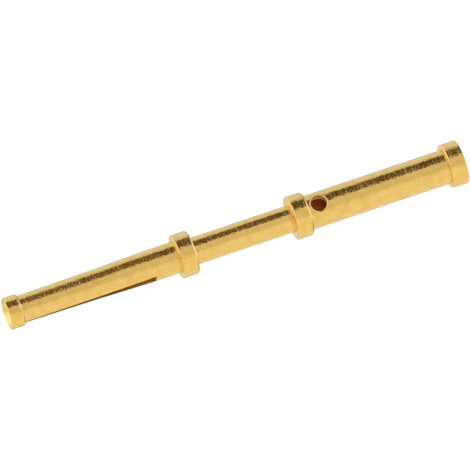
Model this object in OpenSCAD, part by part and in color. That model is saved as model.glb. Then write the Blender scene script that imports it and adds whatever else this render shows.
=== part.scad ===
// Crimp socket contact, turned from one bar and gold plated.
// The contact stands on its rear flange, with the wire end down and the pin socket up.
// The axis is +Z, the inspection hole faces -Y and the slot runs through from -X to +X.

/* [Crimp barrel] */
// Diameter of the rear flange round the wire entry
flange_d = 2.32; // [2.1:0.02:2.6]
// Thickness of the rear flange
flange_t = 0.84; // [0.6:0.02:1.2]
// Outer diameter of the crimp barrel
barrel_d = 1.82; // [1.7:0.02:1.96]
// Length of the crimp barrel between the flange and the rear collar
barrel_l = 7.72; // [6:0.02:9]
// Diameter of the wire bore
wire_bore_d = 1.2; // [1:0.02:1.3]
// Diameter of the countersink where the wire goes in
wire_entry_d = 1.6; // [1.4:0.02:1.7]
// Metal left between the point of the wire bore and the neck
wire_web = 0.85; // [0.6:0.05:1.2]
// Diameter of the inspection hole
inspection_d = 0.78; // [0.6:0.02:1]
// Distance from the middle of the inspection hole to the rear collar
inspection_setback = 0.62; // [0.6:0.02:1.2]

/* [Retention collars] */
// Diameter of both collars
collar_d = 2.32; // [2.1:0.02:2.6]
// Thickness of each collar
collar_t = 0.85; // [0.6:0.05:1.2]
// Diameter of the neck between the collars
neck_d = 1.44; // [1.2:0.02:1.7]
// Length of the neck between the collars
neck_l = 5.46; // [4:0.02:7]

/* [Pin socket] */
// Diameter of the pin that the socket takes
pin_d = 1; // [0.9:0.01:1.05]
// Diametral clearance between the pin and the bore
pin_clearance = 0.02; // [0.01:0.005:0.05]
// Length of the socket from the front collar to the mouth
socket_l = 9.28; // [8.8:0.02:11]
// Outer diameter of the socket behind the slot
socket_d = 1.68; // [1.6:0.02:1.9]
// Outer diameter of the tines where their bend ends
bend_d = 1.53; // [1.5:0.01:1.6]
// Outer diameter of the tines just behind the head
throat_d = 1.45; // [1.4:0.01:1.5]
// Height of the head above the tines, on the radius
head_lip = 0.125; // [0.08:0.005:0.2]
// Length of the head
head_l = 0.75; // [0.5:0.01:1]
// Radius of the rounded back edge of the head
head_back_r = 0.1; // [0.05:0.01:0.12]
// Diameter of the lead-in at the mouth
lead_in_d = 1.56; // [1.2:0.02:1.58]
// Depth of the lead-in at the mouth
lead_in_l = 0.32; // [0.2:0.02:0.5]
// Length of the slot from the mouth
slot_l = 7.86; // [7:0.02:8.2]
// Length over which the tines bend in, from the root of the slot
bend_l = 3.2; // [2:0.1:4]
// Width of the slot at its root, as sawn
slot_root_w = 0.6; // [0.4:0.02:0.66]
// Width of the slot where the bend of the tines ends
slot_bend_w = 0.26; // [0.16:0.02:0.3]
// Width of the slot at the mouth
slot_mouth_w = 0.03; // [0.02:0.01:0.1]
// Depth of the full bore past the root of the slot
bore_past_slot = 0.55; // [0.3:0.05:0.8]

/* [Edges and tools] */
// Width of the broken edges of the collars and the flange
edge_break = 0.07; // [0.03:0.01:0.1]
// Width of the broken edge of the inspection hole
hole_break = 0.1; // [0.09:0.01:0.14]
// Radius of the rounded front edge of the head
nose_r = 0.03; // [0.02:0.01:0.12]
// Point angle of the drills
drill_angle = 118; // [90:1:140]

/* [Hidden] */
$fn = 96;

// Overlap of a cutting tool past the surface where it starts
past = 0.5;

// Heights of the shoulders, from the wire end up to the mouth
barrel_z = flange_t;
rear_collar_z = barrel_z + barrel_l;
neck_z = rear_collar_z + collar_t;
front_collar_z = neck_z + neck_l;
socket_z = front_collar_z + collar_t;
mouth_z = socket_z + socket_l;
slot_z = mouth_z - slot_l;
bend_z = slot_z + bend_l;
head_z = mouth_z - head_l;

// Radii of the turned outline
head_d = throat_d + 2 * head_lip;
head_r = head_d / 2;
// The round back edge takes up to this share of the height of the head above the tines
back_share = 0.9;
back_r = min(head_back_r, back_share * head_lip);

// The bores, with the height of each drill's point
socket_bore_d = pin_d + pin_clearance;
socket_bore_z = slot_z - bore_past_slot;
wire_point = point_height(wire_bore_d);
wire_bore_top = neck_z - wire_web - wire_point;
inspection_z = rear_collar_z - inspection_setback;

// Height of the cone that a drill of diameter d leaves
function point_height(d) = d / 2 / tan(drill_angle / 2);

// Width of a broken edge on a ring of thickness t that stands up from a shaft of diameter shaft_d
function edge_width(ring_d, shaft_d, t) = min(edge_break, (ring_d - shaft_d) / 4, t / 4);

// Outline of a ring between two shafts, with both its edges broken, from its lower face up
function ring_outline(ring_d, t, z, shaft_d) =
    let (e = edge_width(ring_d, shaft_d, t), r = ring_d / 2)
    [[r - e, z], [r, z + e], [r, z + t - e], [r - e, z + t]];

// The half outline that the contact is turned to, with the round edges of the head cut straight
function turned_outline() = concat(
    [[0, 0]],
    ring_outline(flange_d, flange_t, 0, barrel_d),
    [[barrel_d / 2, barrel_z], [barrel_d / 2, rear_collar_z]],
    ring_outline(collar_d, collar_t, rear_collar_z, barrel_d),
    [[neck_d / 2, neck_z], [neck_d / 2, front_collar_z]],
    ring_outline(collar_d, collar_t, front_collar_z, socket_d),
    [[socket_d / 2, socket_z], [socket_d / 2, slot_z], [bend_d / 2, bend_z], [throat_d / 2, head_z]],
    [[head_r - back_r, head_z], [head_r, head_z + back_r]],
    [[head_r, mouth_z - nose_r], [head_r - nose_r, mouth_z], [0, mouth_z]]
);

// The turned bar, with both edges of its head rounded
module turned_bar() {
    rotate_extrude() {
        polygon(turned_outline());
        translate([head_r - back_r, head_z + back_r]) circle(back_r);
        translate([head_r - nose_r, mouth_z - nose_r]) circle(nose_r);
    }
}

// A hole drilled down from height top to height bottom, with the drill's point below
module drilled(d, top, bottom) {
    point = point_height(d);
    translate([0, 0, bottom]) cylinder(d = d, h = top - bottom);
    translate([0, 0, bottom - point]) cylinder(d1 = 0, d2 = d, h = point);
}

// A countersink that widens a bore to diameter d at height z, over the given depth
module countersink(bore_d, d, depth, z) {
    slope = (d - bore_d) / 2 / depth;
    point = d / 2 / slope;
    translate([0, 0, z - point]) cylinder(r1 = 0, r2 = d / 2 + slope * past, h = point + past);
}

module socket_bore() {
    drilled(socket_bore_d, mouth_z + past, socket_bore_z);
    countersink(socket_bore_d, lead_in_d, lead_in_l, mouth_z);
}

module wire_bore() {
    mirror([0, 0, 1]) {
        drilled(wire_bore_d, past, -wire_bore_top);
        countersink(wire_bore_d, wire_entry_d, (wire_entry_d - wire_bore_d) / 2, 0);
    }
}

// Drilled from the front into the wire bore, and not through the far wall, with its edge broken
module inspection_hole() {
    translate([0, 0, inspection_z]) rotate([90, 0, 0]) {
        cylinder(d = inspection_d, h = barrel_d);
        countersink(inspection_d, inspection_d + 2 * hole_break, hole_break, barrel_d / 2);
    }
}

// The saw cut between the two tines, narrowed where they are bent in
module slot() {
    half = [
        [slot_root_w / 2, slot_z],
        [slot_bend_w / 2, bend_z],
        [slot_mouth_w / 2, mouth_z],
        [slot_mouth_w / 2, mouth_z + past]
    ];
    far_half = [for (i = [len(half) - 1:-1:0]) [-half[i].x, half[i].y]];
    rotate([90, 0, 90]) linear_extrude(height = socket_d + 2 * past, center = true)
        polygon(concat(half, far_half));
}

module socket_contact() {
    color("gold") difference() {
        turned_bar();
        socket_bore();
        wire_bore();
        inspection_hole();
        slot();
    }
}

socket_contact();
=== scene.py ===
"""Dresses the turned crimp socket contact: its fine mesh, its gold plate, the studio and the camera."""

import logging
import math
from collections.abc import Callable, Mapping, Sequence
from dataclasses import dataclass
from enum import Enum
from typing import Any, NamedTuple

import bmesh
import bpy
from mathutils import Matrix, Vector


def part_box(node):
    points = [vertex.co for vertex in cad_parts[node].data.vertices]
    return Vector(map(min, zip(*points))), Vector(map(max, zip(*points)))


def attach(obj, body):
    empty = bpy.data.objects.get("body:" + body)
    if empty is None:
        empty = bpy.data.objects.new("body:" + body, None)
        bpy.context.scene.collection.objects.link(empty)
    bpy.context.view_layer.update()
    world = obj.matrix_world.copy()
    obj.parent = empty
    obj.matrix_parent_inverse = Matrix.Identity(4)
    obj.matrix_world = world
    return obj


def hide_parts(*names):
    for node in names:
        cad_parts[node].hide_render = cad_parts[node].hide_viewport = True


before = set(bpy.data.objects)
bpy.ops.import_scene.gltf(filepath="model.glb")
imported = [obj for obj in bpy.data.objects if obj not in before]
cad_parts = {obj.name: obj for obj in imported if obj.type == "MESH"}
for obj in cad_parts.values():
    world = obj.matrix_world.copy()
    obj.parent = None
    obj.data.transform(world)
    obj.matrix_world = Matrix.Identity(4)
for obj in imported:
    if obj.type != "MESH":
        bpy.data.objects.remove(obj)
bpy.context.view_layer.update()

MM = 0.001
NODE = "socket_contact"
BODY = "root"
PIECE = "turned_contact"
WHITE = (1.0, 1.0, 1.0, 1.0)
BLACK = (0.0, 0.0, 0.0, 1.0)
LOG = logging.getLogger("contact")

Colour = tuple[float, float, float]
Stops = tuple[tuple[float, Colour], ...]


class Signal:
    """One socket's value, with operators that add Math nodes to the socket's own tree."""

    def __init__(self, sheet: "NodeSheet", socket: bpy.types.NodeSocket) -> None:
        """Keeps the tree and the socket."""
        self.sheet = sheet
        self.socket = socket

    def __add__(self, other: "Signal | float") -> "Signal":
        """The sum."""
        return self.sheet.math("ADD", self, other)

    def __radd__(self, other: float) -> "Signal":
        """The sum, with a number in front."""
        return self.sheet.math("ADD", other, self)

    def __sub__(self, other: "Signal | float") -> "Signal":
        """The difference."""
        return self.sheet.math("SUBTRACT", self, other)

    def __rsub__(self, other: float) -> "Signal":
        """The difference, with a number in front."""
        return self.sheet.math("SUBTRACT", other, self)

    def __mul__(self, other: "Signal | float") -> "Signal":
        """The product."""
        return self.sheet.math("MULTIPLY", self, other)

    def __rmul__(self, other: float) -> "Signal":
        """The product, with a number in front."""
        return self.sheet.math("MULTIPLY", other, self)

    def __truediv__(self, other: "Signal | float") -> "Signal":
        """The quotient."""
        return self.sheet.math("DIVIDE", self, other)

    def __rtruediv__(self, other: float) -> "Signal":
        """The quotient, with a number in front."""
        return self.sheet.math("DIVIDE", other, self)


class NodeSheet:
    """A node tree under construction, for a material, the world or geometry."""

    # A Mix node has sockets for each type of data. These are the numbers of the ones for colours.
    MIX_FIRST = 6
    MIX_SECOND = 7
    MIX_RESULT = 2

    def __init__(self, tree: bpy.types.NodeTree) -> None:
        """Keeps the tree."""
        self.tree = tree

    def add(
        self,
        kind: str,
        settings: Mapping[str, Any] | None = None,
        sockets: Mapping[str | int, Any] | None = None,
    ) -> bpy.types.Node:
        """Adds one node.

        Args:
            kind: The node's type.
            settings: The node's own settings. "stops" gives a ramp's (place, colour) pairs.
            sockets: A value, a signal or an output socket for each input, by name or index.

        Returns:
            The new node.
        """
        node = self.tree.nodes.new(kind)
        for name, value in (settings or {}).items():
            if name == "stops":
                self._set_stops(node.color_ramp, value)
            else:
                setattr(node, name, value)
        for name, value in (sockets or {}).items():
            socket = node.inputs[name]
            if isinstance(value, Signal):
                self.tree.links.new(value.socket, socket)
            elif isinstance(value, bpy.types.NodeSocket):
                self.tree.links.new(value, socket)
            else:
                socket.default_value = value
        return node

    @staticmethod
    def _set_stops(ramp: bpy.types.ColorRamp, stops: Sequence[tuple[float, Colour]]) -> None:
        """Gives a new ramp its stops.

        Args:
            ramp: The ramp.
            stops: The (place, colour) pairs, with places that rise from 0 to 1.
        """
        while len(ramp.elements) < len(stops):
            ramp.elements.new(1.0)
        for element, (place, colour) in zip(ramp.elements, stops):
            element.position = place
            element.color = (*colour, 1.0)

    def signal(self, node: bpy.types.Node, output: str | int = 0) -> Signal:
        """One of a node's outputs, ready for an expression."""
        return Signal(self, node.outputs[output])

    def math(self, operation: str, *values: "Signal | float") -> Signal:
        """A Math node on values or signals."""
        node = self.add("ShaderNodeMath", {"operation": operation}, dict(enumerate(values)))
        return self.signal(node)

    def noise(
        self,
        size: float,
        sockets: Mapping[str, Any],
        detail: float,
        dimensions: str = "3D",
    ) -> Signal:
        """Adds a Noise Texture.

        Args:
            size: The size of its features, in the units of its coordinates.
            sockets: Its coordinates, as "Vector" or "W".
            detail: How many finer layers it has.
            dimensions: "1D" or "3D".

        Returns:
            The noise, from 0 to 1 with a middle of 0.5.
        """
        values = {"Scale": 1.0 / size, "Detail": detail, **sockets}
        texture = self.add("ShaderNodeTexNoise", {"noise_dimensions": dimensions}, values)
        return self.signal(texture, "Fac")

    def mix_colour(self, share: "Signal | float", first: Any, second: Any) -> bpy.types.NodeSocket:
        """A Mix node between two colours, given as values or sockets."""
        values = {"Factor": share, self.MIX_FIRST: first, self.MIX_SECOND: second}
        return self.add("ShaderNodeMix", {"data_type": "RGBA"}, values).outputs[self.MIX_RESULT]


class OutlinePoint(NamedTuple):
    """A corner of the turned outline, in millimetres: its radius, its height and its rounding."""

    r: float
    z: float
    rounding: float = 0.0


class Skin(Enum):
    """How a face was made, and where the inspection hole's wall takes painted shade or painted light."""

    TURNED = "turned, on the bright outside"
    BORED = "bored, in a hole along the axis"
    SAWN = "sawn, on a wall or lip of the slot"
    # Painted shade: the inspection hole's wall just under its edge is painted dark.
    HOLE_WALL_PAINTED_SHADE = "drilled, on the wall of the inspection hole under its rim"
    # Painted light: deeper down, the hole's wall is painted a bright colour that doesn't mirror, for light
    # from the bore.
    HOLE_WALL_PAINTED_LIGHT = "drilled, deep in the inspection hole, where the bore lights its wall"


class MetalAndPaintedLight(NamedTuple):
    """A cut surface's colour and how much it mirrors: bare metal, painted shade or painted light."""

    colour: Colour
    metallic: float


class Reach(Enum):
    """How far a cut goes into the bar."""

    THROUGH = "through both walls"
    INTO = "into the bore"


@dataclass
class DeburredCut:
    """A tool that cuts a hole in the bar's wall and rounds the edge that it leaves.

    The outline lies in the plane through the axis that faces the tool, as (u, v) pairs in millimetres. The
    surface gives the bar's height above that plane, and place turns (u, v, height) into the part's own x, y
    and z. The rounding starts above the bar by lift_share of the edge's depth. In a cut that goes into the
    bore, the wall's faces end at the height painted_shade_end, where the painted shade under the edge meets
    the painted light below it.
    """

    name: str
    outline: list[tuple[float, float]]
    surface: Callable[[float, float], float]
    place: Callable[[float, float, float], tuple[float, float, float]]
    reach: Reach
    edge_w: float
    edge_depth: float
    painted_shade_end: float = 0.0
    overshoot: float = 0.2
    lift_share: float = 0.04
    steps: int = 8

    def _offset(self, amount: float) -> list[tuple[float, float]]:
        """Moves the outline outwards, with mitred corners.

        Args:
            amount: How far each side moves.

        Returns:
            The moved outline.
        """
        count = len(self.outline)
        moved = []
        for i, (u, v) in enumerate(self.outline):
            before = Vector(self.outline[i]) - Vector(self.outline[i - 1])
            after = Vector(self.outline[(i + 1) % count]) - Vector(self.outline[i])
            first = Vector((before.y, -before.x)).normalized()
            second = Vector((after.y, -after.x)).normalized()
            mitre = (first + second) / (1.0 + first.dot(second))
            moved.append((u + amount * mitre.x, v + amount * mitre.y))
        return moved

    def _layers(self) -> list[list[tuple[float, float, float]]]:
        """Works out the rings of points that bound the tool.

        Returns:
            The rings in order, from outside the bar on the tool's side.
        """
        levels = [(-self.overshoot, self.edge_w)]
        for step in range(self.steps + 1):
            angle = math.pi / 2 * step / self.steps
            sunk = self.edge_depth * (1.0 - math.cos(angle) - self.lift_share)
            levels.append((sunk, self.edge_w * (1.0 - math.sin(angle))))
        near = []
        for sunk, spread in levels:
            near.append([(u, v, self.surface(u, v) - sunk) for u, v in self._offset(spread)])
        if self.reach is Reach.INTO:
            wall = [[(u, v, height) for u, v, _ in near[-1]] for height in (self.painted_shade_end, 0.0)]
            return near + wall
        far = [[(u, v, -w) for u, v, w in layer] for layer in reversed(near)]
        return near + far

    def build(self) -> bpy.types.Object:
        """Makes the tool.

        Returns:
            A closed mesh object in the scene, in metres.
        """
        mesh = bpy.data.meshes.new(self.name)
        tool = bmesh.new()
        rings = []
        for layer in self._layers():
            rings.append([tool.verts.new(Vector(self.place(*point)) * MM) for point in layer])
        count = len(self.outline)
        for ring, deeper in zip(rings, rings[1:]):
            for i in range(count):
                j = (i + 1) % count
                tool.faces.new((ring[i], ring[j], deeper[j], deeper[i]))
        tool.faces.new(rings[0])
        tool.faces.new(rings[-1])
        bmesh.ops.recalc_face_normals(tool, faces=tool.faces)
        tool.to_mesh(mesh)
        tool.free()
        cutter = bpy.data.objects.new(self.name, mesh)
        bpy.context.scene.collection.objects.link(cutter)
        return cutter


@dataclass(frozen=True)
class GoldPlate:
    """Bright gold over fine turned brass, duller inside the bores, with lengths in millimetres.

    A span gives the two values of a noise between which its patches or specks come in. The inner colours
    that it reads carry painted shade in the slot and under the inspection hole's edge, and painted light
    deeper on that hole's wall.
    """

    name: str = "gold_plate"
    colour: Colour = (0.86, 0.575, 0.165)
    deep_colour: Colour = (0.80, 0.505, 0.125)
    edge_tint: Colour = (1.0, 0.96, 0.86)
    roughness: float = 0.05
    speck_roughness: float = 0.09
    mottle_size: float = 0.45
    mottle_span: tuple[float, float] = (0.3, 0.7)
    ring_size: float = 0.05
    ring_height: float = 0.0065
    grain_size: float = 0.1
    grain_height: float = 0.0125
    speck_span: tuple[float, float] = (0.45, 0.65)
    depth_attribute: str = "depth"
    inner_attribute: str = "inner_colour_and_painted_light"
    inner_roughness: float = 0.45
    bored: MetalAndPaintedLight = MetalAndPaintedLight((0.82, 0.27, 0.05), 0.4)
    sawn: MetalAndPaintedLight = MetalAndPaintedLight((0.5, 0.24, 0.03), 0.4)
    # Painted shade: the dark colour of the inspection hole's wall just under its edge.
    rim: MetalAndPaintedLight = MetalAndPaintedLight((0.2, 0.08, 0.015), 0.4)
    # Painted light: a bright colour that doesn't mirror, for the inspection hole's wall deep down, lit from
    # the bore.
    drilled: MetalAndPaintedLight = MetalAndPaintedLight((1.0, 0.64, 0.3), 0.0)

    def metal_and_painted_light(self, skin: Skin) -> MetalAndPaintedLight:
        """Looks up the colour of a surface: its metal, or the painted shade or painted light put in its
        place.

        Args:
            skin: How the surface was made.

        Returns:
            The metal of a cut, with any painted shade or painted light that it carries, or the plate itself
            on the outside.
        """
        cuts = {
            Skin.BORED: self.bored,
            Skin.SAWN: self.sawn,
            Skin.HOLE_WALL_PAINTED_SHADE: self.rim,
            Skin.HOLE_WALL_PAINTED_LIGHT: self.drilled,
        }
        return cuts.get(skin, MetalAndPaintedLight(self.colour, 1.0))

    def material(self) -> bpy.types.Material:
        """Builds the finish on Object coordinates and on the piece's own attributes.

        Returns:
            The new material.
        """
        made = bpy.data.materials.new(self.name)
        made.use_nodes = True
        made.node_tree.nodes.clear()
        sheet = NodeSheet(made.node_tree)
        place = sheet.add("ShaderNodeTexCoord").outputs["Object"]
        scaled = sheet.add("ShaderNodeVectorMath", {"operation": "SCALE"}, {0: place, "Scale": 1.0 / MM})
        parts = sheet.add("ShaderNodeSeparateXYZ", None, {0: scaled.outputs[0]})
        x, y, z = (sheet.signal(parts, axis) for axis in "XYZ")
        radius = sheet.math("SQRT", x * x + y * y)
        inward = sheet.add("ShaderNodeAttribute", {"attribute_name": self.depth_attribute})
        within = sheet.add("ShaderNodeAttribute", {"attribute_name": self.inner_attribute})
        depth = sheet.signal(inward, "Fac")

        # The tool's feed marks are rings, one above another on the cylinders and nested on the end faces.
        rings = sheet.noise(self.ring_size, {"W": z + radius}, detail=1.0, dimensions="1D")
        grain = sheet.noise(self.grain_size, {"Vector": scaled.outputs[0]}, detail=1.0)
        mottle = sheet.noise(self.mottle_size, {"Vector": scaled.outputs[0]}, detail=3.0)
        height = rings * self.ring_height + grain * self.grain_height

        bump = sheet.add("ShaderNodeBump", None, {"Strength": 1.0, "Distance": MM, "Height": height})
        patches = sheet.add("ShaderNodeMapRange", None, {
            "Value": mottle,
            "From Min": self.mottle_span[0],
            "From Max": self.mottle_span[1],
        })
        outside = sheet.mix_colour(sheet.signal(patches), (*self.deep_colour, 1.0), (*self.colour, 1.0))
        specks = sheet.add("ShaderNodeMapRange", None, {
            "Value": grain,
            "From Min": self.speck_span[0],
            "From Max": self.speck_span[1],
            "To Min": self.roughness,
            "To Max": self.speck_roughness,
        })
        # Inside the cuts, the inner colour brings in their metal with its painted shade and painted light.
        shader = sheet.add("ShaderNodeBsdfPrincipled", None, {
            "Base Color": sheet.mix_colour(depth, outside, within.outputs["Color"]),
            "Metallic": 1.0 - (1.0 - sheet.signal(within, "Alpha")) * depth,
            "Roughness": sheet.signal(specks) * (1.0 - depth) + self.inner_roughness * depth,
            "Specular IOR Level": 0.0,
            "Specular Tint": (*self.edge_tint, 1.0),
            "Normal": bump.outputs["Normal"],
        })
        sheet.add("ShaderNodeOutputMaterial", None, {"Surface": shader.outputs["BSDF"]})
        return made


@dataclass(frozen=True)
class PaleFloor:
    """A smooth white table top that glows a little, as one lit from below does."""

    name: str = "pale_floor"
    colour: Colour = (0.86, 0.86, 0.86)
    glow: float = 0.3
    roughness: float = 0.6

    def material(self) -> bpy.types.Material:
        """Builds the finish.

        Returns:
            The new material.
        """
        made = bpy.data.materials.new(self.name)
        made.use_nodes = True
        made.node_tree.nodes.clear()
        sheet = NodeSheet(made.node_tree)
        shader = sheet.add("ShaderNodeBsdfPrincipled", None, {
            "Base Color": (*self.colour, 1.0),
            "Roughness": self.roughness,
            "Specular IOR Level": 0.0,
            "Emission Color": WHITE,
            "Emission Strength": self.glow,
        })
        sheet.add("ShaderNodeOutputMaterial", None, {"Surface": shader.outputs["BSDF"]})
        return made


class TentBand(NamedTuple):
    """One height of the light tent, with all angles in degrees.

    It fades in between two elevations. Its stops give its colour round the part, from the camera's side.
    """

    starts: float
    full: float
    stops: Stops


def wall_stops(gap: Colour) -> Stops:
    """Lists the colours of the tent's wall round the part.

    Args:
        gap: The colour of the gap beside the camera.

    Returns:
        The stops, by degrees from the camera's side.
    """
    behind = (0.5, 0.5, 0.5)
    return (
        (-180.0, behind),
        (-166.0, behind),
        (-150.0, (0.86, 0.92, 1.05)),
        (-116.0, (0.96, 1.0, 1.2)),
        (-98.0, (0.97, 0.98, 1.05)),
        (-24.0, (0.95, 0.95, 0.98)),
        (-13.0, (0.79, 0.78, 0.75)),
        (0.0, (0.74, 0.73, 0.68)),
        (35.5, (0.76, 0.77, 0.82)),
        (39.5, gap),
        (84.0, gap),
        (88.0, (0.72, 0.78, 1.05)),
        (116.0, (0.85, 0.94, 1.22)),
        (150.0, (0.8, 0.88, 1.1)),
        (166.0, behind),
        (180.0, behind),
    )


@dataclass(frozen=True)
class TentCloth:
    """The light tent's cloth: a bright roof and wall, with one dark gap beside the camera.

    The bands follow one another upwards, and the gap is darkest at its foot.
    """

    name: str = "tent_cloth"
    glow: float = 0.5
    bands: tuple[TentBand, ...] = (
        TentBand(-90.0, -90.0, (
            (-180.0, (1.5, 1.9, 3.4)),
            (180.0, (1.5, 1.9, 3.4)),
        )),
        TentBand(-84.0, -66.0, (
            (-180.0, (0.3, 0.3, 0.3)),
            (-110.0, (0.5, 0.5, 0.5)),
            (-70.0, (1.0, 1.06, 1.15)),
            (0.0, (1.0, 1.06, 1.15)),
            (25.0, (1.0, 1.2, 2.0)),
            (80.0, (1.0, 1.2, 2.0)),
            (110.0, (0.5, 0.5, 0.5)),
            (180.0, (0.3, 0.3, 0.3)),
        )),
        TentBand(-36.0, -20.0, wall_stops((0.05, 0.036, 0.02))),
        TentBand(-20.0, 6.0, wall_stops((0.36, 0.265, 0.16))),
        TentBand(4.0, 10.0, (
            (-180.0, (0.93, 0.94, 0.95)),
            (-120.0, (0.95, 1.02, 1.2)),
            (-90.0, (1.1, 1.23, 1.4)),
            (-40.0, (1.05, 1.19, 1.25)),
            (0.0, (0.7, 0.74, 0.88)),
            (20.0, (0.8, 0.9, 1.2)),
            (45.0, (1.1, 1.3, 1.9)),
            (90.0, (1.1, 1.3, 1.9)),
            (180.0, (0.93, 0.94, 0.95)),
        )),
        TentBand(30.0, 55.0, (
            (-180.0, (0.95, 0.95, 0.95)),
            (-40.0, (0.95, 0.95, 0.95)),
            (10.0, (1.4, 1.45, 1.75)),
            (150.0, (1.4, 1.45, 1.75)),
            (180.0, (0.95, 0.95, 0.95)),
        )),
    )

    def material(self, camera_angle: float, centre: Vector, radius: float) -> bpy.types.Material:
        """Builds the cloth, which glows and scatters the daylight.

        Args:
            camera_angle: Where the camera stands round the Z axis, in degrees from +X.
            centre: The middle of the tent, in metres.
            radius: The tent's radius, in metres.

        Returns:
            The new material.
        """
        made = bpy.data.materials.new(self.name)
        made.use_nodes = True
        made.node_tree.nodes.clear()
        sheet = NodeSheet(made.node_tree)
        place = sheet.add("ShaderNodeTexCoord").outputs["Object"]
        # The turn puts the camera's side at angle zero.
        turn = (0.0, 0.0, -math.radians(camera_angle))
        turned = sheet.add("ShaderNodeMapping", None, {
            "Vector": place,
            "Rotation": turn,
            "Location": -centre,
        })
        parts = sheet.add("ShaderNodeSeparateXYZ", None, {0: turned.outputs[0]})
        x, y, z = (sheet.signal(parts, axis) for axis in "XYZ")
        share = sheet.math("ARCTAN2", y, x) / math.tau + 0.5
        elevation = sheet.math("ARCSINE", z / radius) * math.degrees(1.0)
        colour = self._ring(sheet, self.bands[0], share)
        for band in self.bands[1:]:
            risen = sheet.add("ShaderNodeMapRange", {"interpolation_type": "SMOOTHSTEP"}, {
                "Value": elevation,
                "From Min": band.starts,
                "From Max": band.full,
            })
            colour = sheet.mix_colour(sheet.signal(risen), colour, self._ring(sheet, band, share))
        cloth = sheet.add("ShaderNodeBsdfPrincipled", None, {
            "Base Color": sheet.mix_colour(self.glow, colour, BLACK),
            "Roughness": 1.0,
            "Specular IOR Level": 0.0,
            "Emission Color": colour,
            "Emission Strength": self.glow,
        })
        sheet.add("ShaderNodeOutputMaterial", None, {"Surface": cloth.outputs["BSDF"]})
        return made

    @staticmethod
    def _ring(sheet: NodeSheet, band: TentBand, share: Signal) -> bpy.types.NodeSocket:
        """The colours of one band, by the share of the turn round the part."""
        stops = [((degrees + 180.0) / 360.0, colour) for degrees, colour in band.stops]
        return sheet.add("ShaderNodeValToRGB", {"stops": stops}, {"Fac": share}).outputs["Color"]


@dataclass
class LatheTree:
    """The geometry nodes that turn an outline, saw the slot and drill the inspection hole."""

    name: str = "turn_saw_and_drill"
    rounding_attribute: str = "rounding"
    merge_distance: float = 1e-7

    def build(self) -> bpy.types.GeometryNodeTree:
        """Builds the tree.

        Returns:
            A tree that takes an outline of points and edges in the XZ plane and gives a closed mesh.
        """
        tree = bpy.data.node_groups.new(self.name, "GeometryNodeTree")
        for label, kind in (
            ("Outline", "NodeSocketGeometry"),
            ("Turns", "NodeSocketInt"),
            ("Rounding steps", "NodeSocketInt"),
            ("Saw", "NodeSocketObject"),
            ("Drill", "NodeSocketObject"),
            ("Metal", "NodeSocketMaterial"),
        ):
            tree.interface.new_socket(label, in_out="INPUT", socket_type=kind)
        tree.interface.new_socket("Contact", in_out="OUTPUT", socket_type="NodeSocketGeometry")
        sheet = NodeSheet(tree)
        given = sheet.add("NodeGroupInput").outputs

        bar = self._turned(sheet, given)
        tools = [
            sheet.add("GeometryNodeObjectInfo", None, {"Object": given[label]}).outputs["Geometry"]
            for label in ("Saw", "Drill")
        ]
        how = {"operation": "DIFFERENCE", "solver": "EXACT"}
        cut = sheet.add("GeometryNodeMeshBoolean", how, {"Mesh 1": bar})
        for tool in tools:
            tree.links.new(tool, cut.inputs["Mesh 2"])
        welded = sheet.add("GeometryNodeMergeByDistance", None, {
            "Geometry": cut.outputs["Mesh"],
            "Distance": self.merge_distance,
        })
        smooth = sheet.add("GeometryNodeSetShadeSmooth", None, {"Geometry": welded.outputs[0]})
        real = sheet.add("GeometryNodeRealizeInstances", None, {"Geometry": smooth.outputs[0]})
        dressed = sheet.add("GeometryNodeSetMaterial", None, {
            "Geometry": real.outputs[0],
            "Material": given["Metal"],
        })
        sheet.add("NodeGroupOutput", None, {"Contact": dressed.outputs[0]})
        return tree

    def _turned(self, sheet: NodeSheet, given: Any) -> bpy.types.NodeSocket:
        """Turns the outline round the Z axis.

        Args:
            sheet: The tree.
            given: The tree's inputs.

        Returns:
            The socket with the turned bar.
        """
        curve = sheet.add("GeometryNodeMeshToCurve", None, {"Mesh": given["Outline"]})
        rounding = sheet.add("GeometryNodeInputNamedAttribute", None, {"Name": self.rounding_attribute})
        rounded = sheet.add("GeometryNodeFilletCurve", {"mode": "POLY"}, {
            "Curve": curve.outputs[0],
            "Count": given["Rounding steps"],
            "Radius": rounding.outputs["Attribute"],
            "Limit Radius": True,
        })
        points = sheet.add("GeometryNodeCurveToPoints", {"mode": "EVALUATED"}, {
            "Curve": rounded.outputs[0],
        })
        sizes = sheet.add("GeometryNodeAttributeDomainSize", {"component": "POINTCLOUD"}, {
            "Geometry": points.outputs["Points"],
        })
        stations = sheet.signal(sizes, "Point Count")
        turns = Signal(sheet, given["Turns"])
        grid = sheet.add("GeometryNodeMeshGrid", None, {
            "Vertices X": turns + 1.0,
            "Vertices Y": stations,
        })

        # Each row of the grid is the outline, turned by one more step.
        index = sheet.signal(sheet.add("GeometryNodeInputIndex"))
        station = sheet.math("MODULO", index, stations)
        turn = sheet.math("FLOOR", (index + 0.5) / stations) * math.tau / turns
        corner = sheet.add("GeometryNodeSampleIndex", {"data_type": "FLOAT_VECTOR"}, {
            "Geometry": points.outputs["Points"],
            "Value": sheet.add("GeometryNodeInputPosition").outputs[0],
            "Index": station,
        })
        parts = sheet.add("ShaderNodeSeparateXYZ", None, {0: corner.outputs[0]})
        radius = sheet.signal(parts, "X")
        moved = sheet.add("ShaderNodeCombineXYZ", None, {
            "X": radius * sheet.math("COSINE", turn),
            "Y": radius * sheet.math("SINE", turn),
            "Z": sheet.signal(parts, "Z"),
        })
        placed = sheet.add("GeometryNodeSetPosition", None, {
            "Geometry": grid.outputs["Mesh"],
            "Position": moved.outputs[0],
        })
        closed = sheet.add("GeometryNodeMergeByDistance", None, {
            "Geometry": placed.outputs[0],
            "Distance": self.merge_distance,
        })
        return closed.outputs[0]


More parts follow.
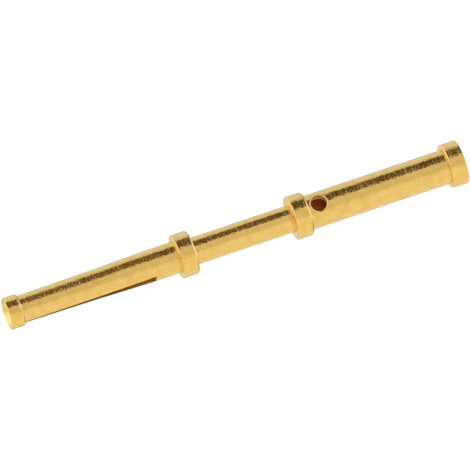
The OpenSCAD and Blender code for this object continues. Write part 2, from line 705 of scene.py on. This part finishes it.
@dataclass
class TurnedContact:
    """The one-piece contact, with its sizes in millimetres and its angles in degrees.

    In the names, d is a diameter, r a radius, l a length, t a thickness, w a width and z a height. The guard
    is the space between a rounding and the next point of the outline, and a run is the longest step between
    points. The slot's walls and lips get painted shade, darker where the slot narrows, and the least shade
    is the share of their colour that they keep where the slot is narrowest.
    """

    flange_d: float = 2.32
    flange_t: float = 0.84
    barrel_d: float = 1.82
    barrel_l: float = 7.72
    wire_bore_d: float = 1.2
    wire_entry_d: float = 1.6
    wire_web: float = 0.85
    inspection_d: float = 0.85
    inspection_setback: float = 0.62
    collar_d: float = 2.32
    collar_t: float = 0.85
    neck_d: float = 1.44
    neck_l: float = 5.46
    socket_bore_d: float = 1.02
    socket_l: float = 9.28
    socket_d: float = 1.68
    bend_d: float = 1.53
    throat_d: float = 1.45
    head_lip: float = 0.125
    head_l: float = 0.75
    head_back_r: float = 0.1
    lead_in_d: float = 1.56
    lead_in_l: float = 0.32
    slot_l: float = 7.86
    bend_l: float = 3.2
    slot_root_w: float = 0.6
    slot_bend_w: float = 0.26
    slot_mouth_w: float = 0.03
    saw_overrun: float = 0.3
    bore_past_slot: float = 0.55
    front_edge_r: float = 0.05
    rear_break: float = 0.08
    wire_break: float = 0.02
    bevel_angle: float = 28.0
    nose_r: float = 0.03
    drill_angle: float = 118.0
    corner_r: float = 0.025
    root_r: float = 0.01
    bend_r: float = 40.0
    slot_edge_r: float = 0.02
    hole_edge_w: float = 0.085
    hole_edge_depth: float = 0.04
    # How far out past the bore the painted light on the inspection hole's wall gives way to painted shade.
    painted_shade_past_bore: float = 0.08
    guard: float = 0.012
    longest_run: float = 0.5
    hole_run: float = 0.09
    turns: int = 160
    rounding_steps: int = 5
    hole_steps: int = 64
    sharp_angle: float = 40.0
    least_shade: float = 0.6

    def __post_init__(self) -> None:
        """Works out the heights of the shoulders, from the wire end up to the mouth."""
        self.rear_collar_z = self.flange_t + self.barrel_l
        self.neck_z = self.rear_collar_z + self.collar_t
        self.front_collar_z = self.neck_z + self.neck_l
        self.socket_z = self.front_collar_z + self.collar_t
        self.mouth_z = self.socket_z + self.socket_l
        self.slot_z = self.mouth_z - self.slot_l
        self.bend_z = self.slot_z + self.bend_l
        self.head_z = self.mouth_z - self.head_l
        self.head_r = self.throat_d / 2 + self.head_lip
        self.inspection_z = self.rear_collar_z - self.inspection_setback
        self.painted_shade_end = self.wire_bore_d / 2 + self.painted_shade_past_bore

    def _point_height(self, diameter: float) -> float:
        """Height of the cone that a drill of that diameter leaves."""
        return diameter / 2 / math.tan(math.radians(self.drill_angle) / 2)

    def _ring(self, diameter: float, thickness: float, z: float, bevel: float) -> list[OutlinePoint]:
        """Outlines a collar or a flange, from its bevelled lower edge to its round upper edge.

        Args:
            diameter: Its diameter.
            thickness: Its height along the axis.
            z: The height of its lower face.
            bevel: The height of its bevel.

        Returns:
            The outline's corners, upwards.
        """
        r = diameter / 2
        return [
            OutlinePoint(r - bevel * math.tan(math.radians(self.bevel_angle)), z, self.root_r),
            OutlinePoint(r, z + bevel, self.root_r),
            OutlinePoint(r, z + thickness, self.front_edge_r),
        ]

    def wire_end(self) -> list[OutlinePoint]:
        """Outlines the wire end, from the bottom of the wire bore round the flange to the barrel.

        Returns:
            The outline's corners in order.
        """
        bore_r, entry_r, barrel_r = self.wire_bore_d / 2, self.wire_entry_d / 2, self.barrel_d / 2
        top = self.neck_z - self.wire_web
        # Short runs round the inspection hole keep the shading of the barrel true up to its edge.
        reach = self.inspection_d / 2 + self.hole_edge_w + self.guard
        by_hole = spaced(self.inspection_z - reach, self.inspection_z + reach, self.hole_run)
        return [
            OutlinePoint(0.0, top),
            OutlinePoint(bore_r, top - self._point_height(self.wire_bore_d), self.corner_r),
            OutlinePoint(bore_r, entry_r - bore_r, self.corner_r),
            OutlinePoint(entry_r, 0.0, self.corner_r),
            *self._ring(self.flange_d, self.flange_t, 0.0, self.wire_break),
            OutlinePoint(barrel_r, self.flange_t, self.root_r),
            *(OutlinePoint(barrel_r, z) for z in by_hole),
        ]

    def collars(self) -> list[OutlinePoint]:
        """Outlines the middle, from the barrel over both collars to the socket.

        Returns:
            The outline's corners, upwards.
        """
        return [
            OutlinePoint(self.barrel_d / 2, self.rear_collar_z, self.root_r),
            *self._ring(self.collar_d, self.collar_t, self.rear_collar_z, self.rear_break),
            OutlinePoint(self.neck_d / 2, self.neck_z, self.root_r),
            OutlinePoint(self.neck_d / 2, self.front_collar_z, self.root_r),
            *self._ring(self.collar_d, self.collar_t, self.front_collar_z, self.rear_break),
            OutlinePoint(self.socket_d / 2, self.socket_z, self.root_r),
        ]

    def tines(self) -> list[OutlinePoint]:
        """Outlines the tines and their head, up to the mouth's face.

        Returns:
            The outline's corners, upwards.
        """
        return [
            OutlinePoint(self.socket_d / 2, self.slot_z, self.bend_r),
            OutlinePoint(self.bend_d / 2, self.bend_z, self.bend_r),
            OutlinePoint(self.throat_d / 2, self.head_z, self.root_r),
            OutlinePoint(self.head_r, self.head_z, self.head_back_r),
            OutlinePoint(self.head_r, self.mouth_z, self.nose_r),
        ]

    def socket_inside(self) -> list[OutlinePoint]:
        """Outlines the socket's inside, from the mouth's lead-in down to the bottom of its bore.

        Returns:
            The outline's corners, downwards.
        """
        bore_r, lead_r = self.socket_bore_d / 2, self.lead_in_d / 2
        bottom = self.slot_z - self.bore_past_slot
        return [
            OutlinePoint(lead_r, self.mouth_z, self.corner_r),
            OutlinePoint(bore_r, self.mouth_z - self.lead_in_l, self.corner_r),
            OutlinePoint(bore_r, bottom, self.corner_r),
            OutlinePoint(0.0, bottom - self._point_height(self.socket_bore_d)),
        ]

    def outline(self) -> list[OutlinePoint]:
        """Joins the half outline, from axis to axis, and cuts its long runs into shorter ones.

        Returns:
            The outline's points in order, with one just past each rounding to keep the shading crisp.
        """
        corners = [*self.wire_end(), *self.collars(), *self.tines(), *self.socket_inside()]
        places = [Vector((corner.r, corner.z)) for corner in corners]
        reaches = [0.0]
        for i in range(1, len(corners) - 1):
            turn = (places[i] - places[i - 1]).angle(places[i + 1] - places[i])
            reaches.append(corners[i].rounding * math.tan(turn / 2) + self.guard)
        reaches.append(0.0)
        points = [corners[0]]
        for i, end in enumerate(corners[1:]):
            run = (places[i + 1] - places[i]).length
            first, last = reaches[i], run - reaches[i + 1]
            for station in spaced(first, last, self.longest_run):
                if 0.0 < station < run and last > first:
                    place = places[i].lerp(places[i + 1], station / run)
                    points.append(OutlinePoint(place.x, place.y))
            points.append(end)
        return points

    def tine_radius(self, z: float) -> float:
        """Finds the socket's outer radius, over the tines and the round back of the head.

        Args:
            z: The height.

        Returns:
            The radius there.
        """
        if z <= self.bend_z:
            share = max(0.0, (z - self.slot_z) / self.bend_l)
            return (self.socket_d + share * (self.bend_d - self.socket_d)) / 2
        if z <= self.head_z:
            share = (z - self.bend_z) / (self.head_z - self.bend_z)
            return (self.bend_d + share * (self.throat_d - self.bend_d)) / 2
        below_round = max(0.0, self.head_z + self.head_back_r - z)
        return self.head_r - self.head_back_r + math.sqrt(self.head_back_r ** 2 - below_round ** 2)

    def slot_half_width(self, z: float) -> float:
        """Finds half the slot's width: sawn at its root, bent narrower, and least at the mouth.

        Args:
            z: The height.

        Returns:
            Half the width there.
        """
        if z < self.bend_z:
            share = (z - self.slot_z) / self.bend_l
            return (self.slot_root_w + share * (self.slot_bend_w - self.slot_root_w)) / 2
        share = min(1.0, (z - self.bend_z) / (self.mouth_z - self.bend_z))
        return (self.slot_bend_w + share * (self.slot_mouth_w - self.slot_bend_w)) / 2

    def _bore_r(self, z: float) -> float:
        """Radius of the bore that runs past a height: the wire's below the socket, the pin's above."""
        return (self.socket_bore_d if z > self.socket_z else self.wire_bore_d) / 2

    def skin(self, place: Vector) -> Skin:
        """Tells how the surface at a point was made.

        Args:
            place: The point, in millimetres.

        Returns:
            The skin there.
        """
        with_lips = 1.0 + 2 * self.slot_edge_r / self.slot_root_w
        in_slot = abs(place.y) < self.slot_half_width(place.z) * with_lips
        if in_slot and self.slot_z - self.slot_edge_r < place.z < self.head_z:
            return Skin.SAWN
        if place.xy.length < self._bore_r(place.z) + self.corner_r:
            return Skin.BORED
        off_axis = math.hypot(place.x, place.z - self.inspection_z)
        # The hole's wall is painted dark from its edge down to painted_shade_end, and painted light below
        # that.
        if place.y < 0.0 and off_axis < self.inspection_d / 2:
            return Skin.HOLE_WALL_PAINTED_SHADE if -place.y > self.painted_shade_end else Skin.HOLE_WALL_PAINTED_LIGHT
        return Skin.TURNED

    def depth(self, place: Vector) -> float:
        """How far inside the contact a point of its surface lies.

        Args:
            place: The point, in millimetres.

        Returns:
            0 on the outside and at the open ends, up to 1 on the cut walls and deep in the bores.
        """
        skin = self.skin(place)
        if skin is Skin.BORED:
            to_daylight = self.mouth_z - place.z if place.z > self.socket_z else place.z
            return min(1.0, to_daylight / (2 * self._bore_r(place.z)))
        return float(skin is not Skin.TURNED)

    def shade(self, place: Vector) -> float:
        """Finds how much of its colour a point keeps: painted shade, less where the slot is narrow.

        Args:
            place: The point, in millimetres.

        Returns:
            The share, up to 1.
        """
        # Painted shade: the slot's walls and lips keep less of their colour where the slot narrows.
        if self.skin(place) is Skin.SAWN:
            return max(self.least_shade, self.slot_half_width(place.z) / (self.slot_root_w / 2))
        return 1.0

    def _paint(self, mesh: bpy.types.Mesh, finish: GoldPlate) -> None:
        """Writes the depth and the inner colour of each face, with the cuts' painted shade and painted
        light.

        Args:
            mesh: The contact's mesh.
            finish: The metal, which reads them.
        """
        places = [face.center / MM for face in mesh.polygons]
        depths = mesh.attributes.new(finish.depth_attribute, "FLOAT", "FACE")
        depths.data.foreach_set("value", [self.depth(place) for place in places])
        colours = []
        for place in places:
            # Cut colours, with painted shade in the slot and under the hole's edge, and painted light below.
            metal, shade = finish.metal_and_painted_light(self.skin(place)), self.shade(place)
            colours += [*(shade * part for part in metal.colour), metal.metallic]
        inner = mesh.attributes.new(finish.inner_attribute, "FLOAT_COLOR", "FACE")
        inner.data.foreach_set("color", colours)

    def saw(self) -> DeburredCut:
        """Shapes the cut between the two tines, narrowed where they are bent in.

        Returns:
            The cut, through both walls.
        """
        heights = [
            *spaced(self.slot_z, self.bend_z, self.longest_run)[:-1],
            *spaced(self.bend_z, self.head_z, self.longest_run)[:-1],
            *spaced(self.head_z, self.head_z + self.head_back_r, self.head_back_r / self.rounding_steps),
            self.mouth_z,
            self.mouth_z + self.saw_overrun,
        ]
        wall = [(self.slot_half_width(z), z) for z in heights]
        outline = wall + [(-y, z) for y, z in reversed(wall)]
        return DeburredCut(
            name="saw",
            outline=outline,
            surface=lambda y, z: math.sqrt(self.tine_radius(z) ** 2 - y ** 2),
            place=lambda y, z, x: (x, y, z),
            reach=Reach.THROUGH,
            edge_w=self.slot_edge_r,
            edge_depth=self.slot_edge_r,
        )

    def drill(self) -> DeburredCut:
        """Shapes the inspection hole.

        Returns:
            The cut, from the front into the wire bore.
        """
        hole_r = self.inspection_d / 2
        angles = [math.tau * step / self.hole_steps for step in range(self.hole_steps)]
        return DeburredCut(
            name="drill",
            outline=[(hole_r * math.cos(a), self.inspection_z + hole_r * math.sin(a)) for a in angles],
            surface=lambda x, z: math.sqrt((self.barrel_d / 2) ** 2 - x ** 2),
            place=lambda x, z, y: (x, -y, z),
            reach=Reach.INTO,
            edge_w=self.hole_edge_w,
            edge_depth=self.hole_edge_depth,
            painted_shade_end=self.painted_shade_end,
        )

    def _outline_object(self, attribute: str) -> bpy.types.Object:
        """Draws the outline as points and edges in the XZ plane.

        Args:
            attribute: The name under which each corner keeps its rounding.

        Returns:
            The outline, in the scene and in metres.
        """
        points = self.outline()
        mesh = bpy.data.meshes.new("outline")
        places = [(point.r * MM, 0.0, point.z * MM) for point in points]
        mesh.from_pydata(places, [(i, i + 1) for i in range(len(points) - 1)], [])
        roundings = mesh.attributes.new(attribute, "FLOAT", "POINT")
        roundings.data.foreach_set("value", [point.rounding * MM for point in points])
        blank = bpy.data.objects.new("outline", mesh)
        bpy.context.scene.collection.objects.link(blank)
        return blank

    def build(self, finish: GoldPlate) -> bpy.types.Object:
        """Turns, saws and drills the contact, and gives it its finish.

        Args:
            finish: The metal that it is dressed in.

        Returns:
            The finished piece, riding on the part's body in place of the CAD node.
        """
        lathe = LatheTree()
        tree = lathe.build()
        blank = self._outline_object(lathe.rounding_attribute)
        tools = {"Saw": self.saw().build(), "Drill": self.drill().build()}
        modifier = blank.modifiers.new("lathe", "NODES")
        modifier.node_group = tree
        settings = {
            "Turns": self.turns,
            "Rounding steps": self.rounding_steps,
            "Metal": finish.material(),
            **tools,
        }
        for label, value in settings.items():
            modifier[tree.interface.items_tree[label].identifier] = value
        mesh = plain_mesh(blank, NODE)
        for spent in (blank, *tools.values()):
            bpy.data.objects.remove(spent)

        face_outwards(mesh)
        self._paint(mesh, finish)
        mesh.set_sharp_from_angle(angle=math.radians(self.sharp_angle))
        piece = bpy.data.objects.new(PIECE, mesh)
        bpy.context.scene.collection.objects.link(piece)
        weighted = piece.modifiers.new("weighted_normals", "WEIGHTED_NORMAL")
        weighted.keep_sharp = True
        piece.data = plain_mesh(piece, PIECE)
        piece.modifiers.remove(weighted)
        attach(piece, BODY)
        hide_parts(NODE)
        return piece


@dataclass
class Studio:
    """A pale floor inside a light tent, with sizes in metres."""

    floor_side: float = 2.0
    tent_r: float = 1.0
    tent_sides: int = 96
    daylight: float = 1.0

    def floor(self) -> bpy.types.Object:
        """Lays the table top, at the height that the contact stands on.

        Returns:
            The table top.
        """
        made = bpy.data.meshes.new("floor")
        half = self.floor_side / 2
        corners = [(-half, -half, 0.0), (half, -half, 0.0), (half, half, 0.0), (-half, half, 0.0)]
        made.from_pydata(corners, [], [(0, 1, 2, 3)])
        made.materials.append(PaleFloor().material())
        table = bpy.data.objects.new("floor", made)
        bpy.context.scene.collection.objects.link(table)
        # The tent goes on below the table's level, and the metal mirrors that.
        table.visible_glossy = False
        return table

    def tent(self, camera_angle: float, centre: Vector) -> bpy.types.Object:
        """Puts up the light tent all round the contact, which only the metal mirrors.

        Args:
            camera_angle: Where the camera stands round the Z axis, in degrees from +X.
            centre: The middle of the contact's axis, in metres.

        Returns:
            The tent.
        """
        made = bpy.data.meshes.new("tent")
        dome = bmesh.new()
        bmesh.ops.create_uvsphere(
            dome,
            u_segments=self.tent_sides,
            v_segments=self.tent_sides // 2,
            radius=self.tent_r,
            matrix=Matrix.Translation(centre),
        )
        dome.to_mesh(made)
        dome.free()
        made.materials.append(TentCloth().material(camera_angle, centre, self.tent_r))
        tent = bpy.data.objects.new("tent", made)
        bpy.context.scene.collection.objects.link(tent)
        tent.visible_camera = tent.visible_diffuse = tent.visible_shadow = False
        tent.visible_transmission = tent.visible_volume_scatter = False
        return tent

    def light(self) -> bpy.types.World:
        """Lights the studio evenly from all round.

        Returns:
            The scene's new world.
        """
        world = bpy.data.worlds.new("studio_light")
        world.use_nodes = True
        world.node_tree.nodes.clear()
        sheet = NodeSheet(world.node_tree)
        sky = sheet.add("ShaderNodeBackground", None, {"Color": WHITE, "Strength": self.daylight})
        sheet.add("ShaderNodeOutputWorld", None, {"Surface": sky.outputs[0]})
        bpy.context.scene.world = world
        bpy.context.scene.view_settings.view_transform = "Standard"
        return world


@dataclass
class PhotoCamera:
    """The camera of the photograph, which looks at the contact from far off.

    The angles are in degrees, the lengths in millimetres, and the pixels are those of the photograph.
    """

    azimuth: float = -20.5
    elevation: float = 11.3
    roll: float = 18.576
    frame_width: float = 24.06
    distance: float = 400.0
    sensor: float = 36.0
    clip_ratio: float = 10.0
    image_side: int = 470
    middle_px: tuple[float, float] = (234.42, 236.97)

    @property
    def stand_angle(self) -> float:
        """Where the camera stands round the Z axis, in degrees from +X."""
        return self.azimuth - 90.0

    def build(self, middle: Vector) -> bpy.types.Object:
        """Sets up the camera.

        Args:
            middle: The middle of the contact's axis, in metres.

        Returns:
            The camera, which is then the scene's own.
        """
        stand, tilt, roll = (math.radians(a) for a in (self.stand_angle, self.elevation, self.roll))
        towards = Vector((math.cos(stand), math.sin(stand), 0.0))
        upright = Vector((0.0, 0.0, 1.0))
        back = towards * math.cos(tilt) + upright * math.sin(tilt)
        # With the axis level in the picture, the wire end points right and the mouth points left.
        level_right = towards * math.sin(tilt) - upright * math.cos(tilt)
        level_up = back.cross(level_right)
        right = level_right * math.cos(roll) - level_up * math.sin(roll)
        up = level_right * math.sin(roll) + level_up * math.cos(roll)

        pixel = self.frame_width / self.image_side * MM
        centre_px = (self.image_side - 1) / 2
        aim = middle + right * (centre_px - self.middle_px[0]) * pixel
        aim += up * (self.middle_px[1] - centre_px) * pixel

        data = bpy.data.cameras.new("camera")
        data.sensor_width = self.sensor
        data.lens = self.sensor * self.distance / self.frame_width
        data.clip_start = self.distance * MM / self.clip_ratio
        data.clip_end = self.distance * MM * self.clip_ratio
        camera = bpy.data.objects.new("camera", data)
        turn = Matrix((right, up, back)).transposed().to_4x4()
        camera.matrix_world = Matrix.Translation(aim + back * self.distance * MM) @ turn
        bpy.context.scene.collection.objects.link(camera)
        bpy.context.scene.camera = camera
        return camera


def spaced(start: float, end: float, longest: float) -> list[float]:
    """Evenly spaced values from start to end, no further apart than the longest step."""
    count = max(1, math.ceil((end - start) / longest))
    return [start + (end - start) * step / count for step in range(count + 1)]


def plain_mesh(obj: bpy.types.Object, name: str) -> bpy.types.Mesh:
    """Turns an object and its modifiers into a plain mesh.

    Args:
        obj: The object, in the scene.
        name: The new mesh's name.

    Returns:
        The new mesh.
    """
    bpy.context.view_layer.update()
    graph = bpy.context.evaluated_depsgraph_get()
    made = obj.evaluated_get(graph)
    mesh = bpy.data.meshes.new_from_object(made, preserve_all_data_layers=True, depsgraph=graph)
    mesh.name = name
    return mesh


def face_outwards(mesh: bpy.types.Mesh) -> None:
    """Turns the faces of a mesh outwards, and reports how many of its edges are open.

    Args:
        mesh: The mesh, which should be closed.
    """
    work = bmesh.new()
    work.from_mesh(mesh)
    bmesh.ops.recalc_face_normals(work, faces=work.faces)
    open_edges = sum(not edge.is_manifold for edge in work.edges)
    LOG.info("%s: %d faces, %d open edges, volume %.3f mm3",
             mesh.name, len(work.faces), open_edges, work.calc_volume() / MM ** 3)
    work.to_mesh(mesh)
    work.free()


def main() -> None:
    """Builds the contact, the studio and the camera."""
    logging.basicConfig(level=logging.INFO, format="%(name)s: %(message)s")
    low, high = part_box(NODE)
    contact = TurnedContact().build(GoldPlate())
    LOG.info("%s stands for %s", contact.name, NODE)
    middle = (low + high) / 2
    camera = PhotoCamera()
    camera.build(middle)
    studio = Studio()
    for made in (studio.floor(), studio.tent(camera.stand_angle, middle), studio.light()):
        LOG.info("%s is in place", made.name)


if __name__ == "__main__":
    main()
